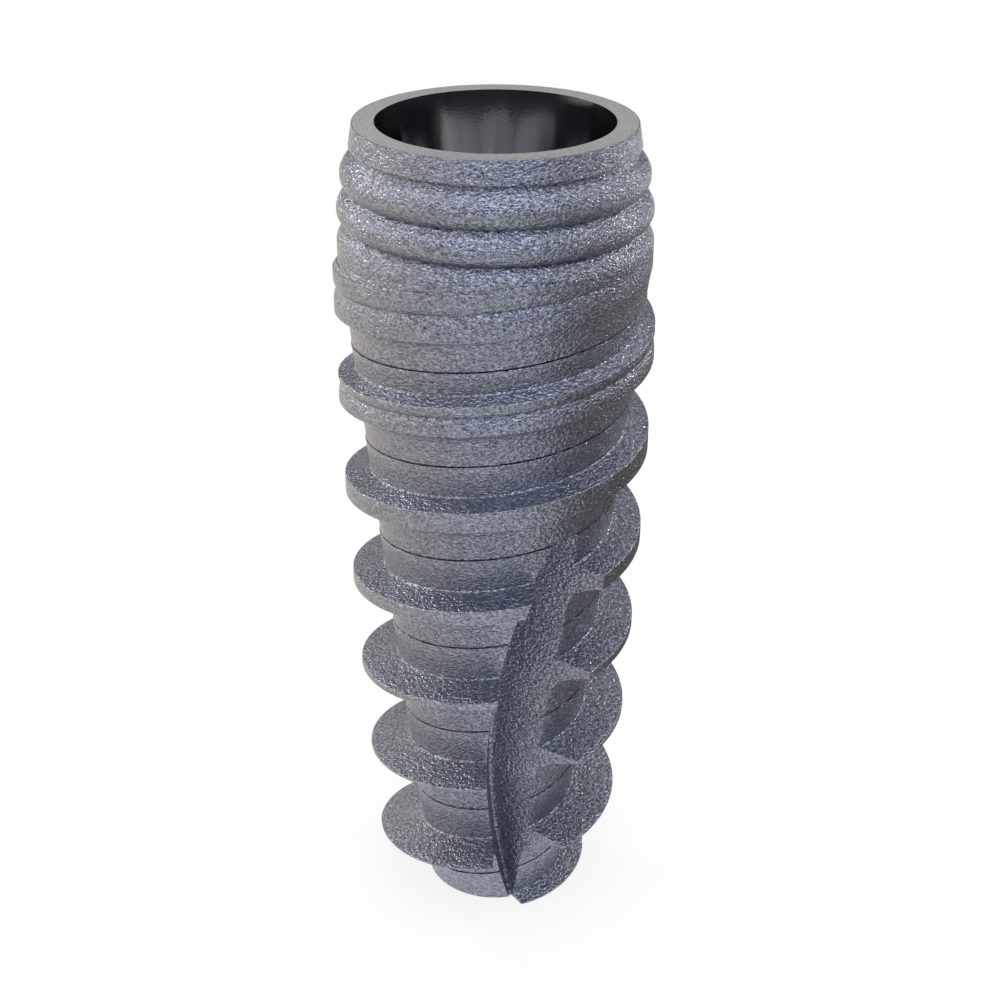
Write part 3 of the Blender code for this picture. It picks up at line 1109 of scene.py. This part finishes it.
@dataclass
class Studio:
    """Pale floor, soft lamps, cards that only reflections see, and a white world.

    The cards stand where real ones would be in the picture. They give the metal
    its darks and its tints, and light nothing.
    """

    floor_size: float = 400 * MM
    floor_colour: str = "f2f2f2"
    floor_roughness: float = 0.95
    floor_glow: float = 0.8
    surround_radius: float = 80 * MM
    surround_shift: float = 30 * MM
    surround_height: float = 42 * MM
    surround_shade: str = "34363b"
    side_depth: float = 26 * MM
    right_width: float = 9 * MM
    right_shade: str = "7c766f"
    left_width: float = 18 * MM
    left_shade: str = "f4eadd"
    side_lean: float = math.radians(-42)
    side_turn: float = math.radians(16)
    side_place: tuple[float, float, float] = (3.4, 1.0, 0.2)
    ceiling_size: tuple[float, float] = (80 * MM, 34 * MM)
    ceiling_shade: str = "3c3e44"
    ceiling_lean: float = math.radians(-35)
    ceiling_place: tuple[float, float, float] = (10, 35, 56)
    lamps: tuple[Lamp, ...] = (
        Lamp("front_softbox", (4, -46, 62), 42, 0.0115, "cfdcff"),
        Lamp("left_softbox", (-44, -10, 34), 30, 0.0035, "fff6ea"),
        Lamp("left_strip", (-26, 17, 20), 3, 0.0015, "fffaf2"),
        Lamp("right_strip", (27, 15, 17), 3, 0.0014, "fffdf8"),
    )

    def build(self) -> None:
        """Make the floor, the cards, the world and the lamps."""
        bpy.context.scene.view_settings.view_transform = "Standard"
        self._floor()
        self._surround()
        right, left = (self.right_width, self.side_depth), (self.left_width, self.side_depth)
        self._card("brown_card", self.right_shade, right, self._leaning(self.right_width, 1))
        self._card("cream_card", self.left_shade, left, self._leaning(self.left_width, -1))
        above_back = [
            Matrix.Rotation(self.ceiling_lean, 4, "X"),
            Matrix.Translation(Vector(self.ceiling_place) * MM),
        ]
        self._card("grey_ceiling", self.ceiling_shade, self.ceiling_size, above_back)
        self._world()
        for lamp in self.lamps:
            lamp.build()

    def _to_viewers(self, tree: bpy.types.NodeTree) -> bpy.types.NodeSocket:
        """Share that is 1 for the camera, for reflections and for rays through glass.

        Args:
            tree: Node tree that takes the nodes.

        Returns:
            The share's output socket.
        """
        path = add_node(tree, "ShaderNodeLightPath").outputs
        seen = add_node(
            tree,
            "ShaderNodeMath",
            {"operation": "MAXIMUM"},
            {0: path["Is Camera Ray"], 1: path["Is Glossy Ray"]},
        )
        seen = add_node(
            tree,
            "ShaderNodeMath",
            {"operation": "MAXIMUM"},
            {0: seen.outputs[0], 1: path["Is Transmission Ray"]},
        )
        return seen.outputs[0]

    def _floor(self) -> None:
        """Make the pale floor, which glows white to the viewer and keeps the shadow."""
        deselect_all()
        bpy.ops.mesh.primitive_plane_add(size=self.floor_size)
        floor = name_active("floor")
        material = bpy.data.materials.new("pale_paper")
        material.use_nodes = True
        tree = material.node_tree
        paper = tree.nodes["Principled BSDF"]
        paper.inputs["Base Color"].default_value = linear(self.floor_colour)
        paper.inputs["Roughness"].default_value = self.floor_roughness
        paper.inputs["Specular IOR Level"].default_value = 0.0
        glow = add_node(tree, "ShaderNodeEmission", {"Color": linear("ffffff"), "Strength": 1.0})
        share = add_node(
            tree,
            "ShaderNodeMath",
            {"operation": "MULTIPLY", 1: self.floor_glow},
            {0: self._to_viewers(tree)},
        )
        blend = add_node(
            tree,
            "ShaderNodeMixShader",
            {},
            {0: share.outputs[0], 1: paper.outputs["BSDF"], 2: glow.outputs["Emission"]},
        )
        tree.links.new(blend.outputs[0], tree.nodes["Material Output"].inputs["Surface"])
        floor.data.materials.append(material)

    def _reflected_only(self, card: bpy.types.Object, name: str, shade: str) -> None:
        """Give a card a plain shade and leave it to reflections alone.

        Args:
            card: The card's object.
            name: Name of its material.
            shade: Its colour.
        """
        material = bpy.data.materials.new(name)
        material.use_nodes = True
        tree = material.node_tree
        glow = add_node(tree, "ShaderNodeEmission", {"Color": linear(shade), "Strength": 1.0})
        tree.links.new(glow.outputs["Emission"], tree.nodes["Material Output"].inputs["Surface"])
        card.data.materials.append(material)
        card.visible_camera = False
        card.visible_diffuse = False
        card.visible_shadow = False

    def _surround(self) -> None:
        """Make the dark wall that stands round the table, as a room's walls do."""
        deselect_all()
        bpy.ops.mesh.primitive_cylinder_add(
            vertices=64,
            radius=self.surround_radius,
            depth=self.surround_height,
            end_fill_type="NOTHING",
            location=(0.0, self.surround_shift, self.surround_height / 2),
        )
        self._reflected_only(name_active("dark_surround"), "grey_card", self.surround_shade)

    def _card(self, name: str, shade: str, size: tuple[float, float], steps: list[Matrix]) -> None:
        """Make a card beside the fixture or above it.

        Args:
            name: Name of the card.
            shade: Its colour.
            size: Its width and depth.
            steps: Matrices that turn and move it to its place, in order.
        """
        deselect_all()
        bpy.ops.mesh.primitive_plane_add(size=1.0)
        card = name_active(name)
        card.data.transform(Matrix.Diagonal((*size, 1.0, 1.0)))
        for step in steps:
            card.data.transform(step)
        self._reflected_only(card, name, shade)

    def _leaning(self, width: float, side: int) -> list[Matrix]:
        """Steps that lean a card away from the fixture's side.

        Args:
            width: Width of the card.
            side: 1 for the fixture's right, -1 for its left.

        Returns:
            The matrices, in order.
        """
        return [
            Matrix.Translation((width / 2, 0.0, 0.0)),
            Matrix.Rotation(self.side_lean, 4, "Y"),
            Matrix.Rotation(self.side_turn, 4, "Z"),
            Matrix.Translation(Vector(self.side_place) * MM),
            Matrix.Diagonal((side, 1.0, 1.0, 1.0)),
        ]

    def _world(self) -> None:
        """Make the white world."""
        world = bpy.data.worlds.new("studio")
        bpy.context.scene.world = world
        world.use_nodes = True
        background = world.node_tree.nodes["Background"]
        background.inputs["Color"].default_value = linear("ffffff")
        background.inputs["Strength"].default_value = 1.0


def main() -> None:
    """Build the fixture, the studio and the camera."""
    logging.basicConfig(level=logging.INFO)
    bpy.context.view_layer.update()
    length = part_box(NODE)[1][2]
    Fixture(length).build()
    Studio().build()
    Camera().build(length)


if __name__ == "__main__":
    main()
